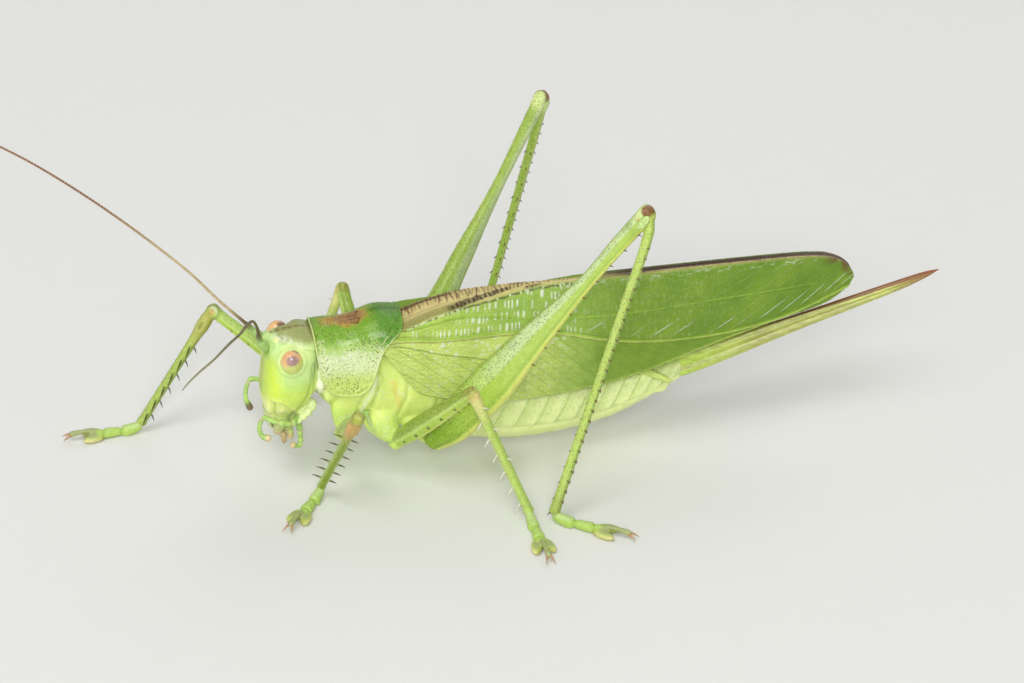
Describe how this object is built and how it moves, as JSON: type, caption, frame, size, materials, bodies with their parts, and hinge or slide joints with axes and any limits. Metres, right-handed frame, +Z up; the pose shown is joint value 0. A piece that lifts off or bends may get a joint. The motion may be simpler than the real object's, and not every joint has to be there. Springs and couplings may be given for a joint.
{
  "type": "long-horned grasshopper",
  "caption": "Life-size still model of a long-horned grasshopper, an adult female bush-cricket, standing with its hind knees high and its feelers spread.",
  "frame": {"origin": "middle of the whole object's box, on the ground plane the feet stand on", "axes": "+X towards the tip of the ovipositor, the head facing -X, +Y to the insect's right side, +Z up"},
  "size_m": [0.099, 0.0594, 0.0394],
  "materials": {
    "cuticle": "satin living skin: green legs with fine dark dots and pale keels, pale yellow-green body, olive-brown crown",
    "pronotum": "soft gloss, green with fine dark dots and a red-brown saddle mark",
    "eye": "glossy, cream below and salmon above, with a dark upper rim",
    "antenna": "matt, brown and finely ringed, green at the base",
    "mouthparts": "satin, yellow-green with dark tips",
    "palp": "satin, green with pale orange knobs",
    "forewing": "leathery satin, green side field with pale veins, tan and dark brown speckled top",
    "hindwing": "thin, pale and pleated",
    "ovipositor": "soft gloss, yellow-green at the base to straw, red-brown upper edge and tip"
  },
  "bodies": {
    "root": {"head": "cuticle", "eye_left": "eye", "antenna_left_base": "antenna", "antenna_left_middle": "antenna", "antenna_left_tip": "antenna", "mandible_left": "mouthparts", "maxillary_palp_left": "palp", "labial_palp_left": "palp", "cercus_left": "cuticle", "forewing_left": "forewing", "hindwing_left": "hindwing", "eye_right": "eye", "antenna_right_base": "antenna", "antenna_right_middle": "antenna", "antenna_right_tip": "antenna", "mandible_right": "mouthparts", "maxillary_palp_right": "palp", "labial_palp_right": "palp", "cercus_right": "cuticle", "forewing_right": "forewing", "hindwing_right": "hindwing", "labrum": "mouthparts", "labium": "mouthparts", "thorax": "cuticle", "pronotum": "pronotum", "abdomen": "cuticle", "ovipositor": "ovipositor", "coxa_front_left": "cuticle", "femur_front_left": "cuticle", "tibia_front_left": "cuticle", "foot_front_left": "cuticle", "coxa_front_right": "cuticle", "femur_front_right": "cuticle", "tibia_front_right": "cuticle", "foot_front_right": "cuticle", "coxa_middle_left": "cuticle", "femur_middle_left": "cuticle", "tibia_middle_left": "cuticle", "foot_middle_left": "cuticle", "coxa_middle_right": "cuticle", "femur_middle_right": "cuticle", "tibia_middle_right": "cuticle", "foot_middle_right": "cuticle", "coxa_hind_left": "cuticle", "femur_hind_left": "cuticle", "tibia_hind_left": "cuticle", "foot_hind_left": "cuticle", "coxa_hind_right": "cuticle", "femur_hind_right": "cuticle", "tibia_hind_right": "cuticle", "foot_hind_right": "cuticle"}
  },
  "joints": []
}
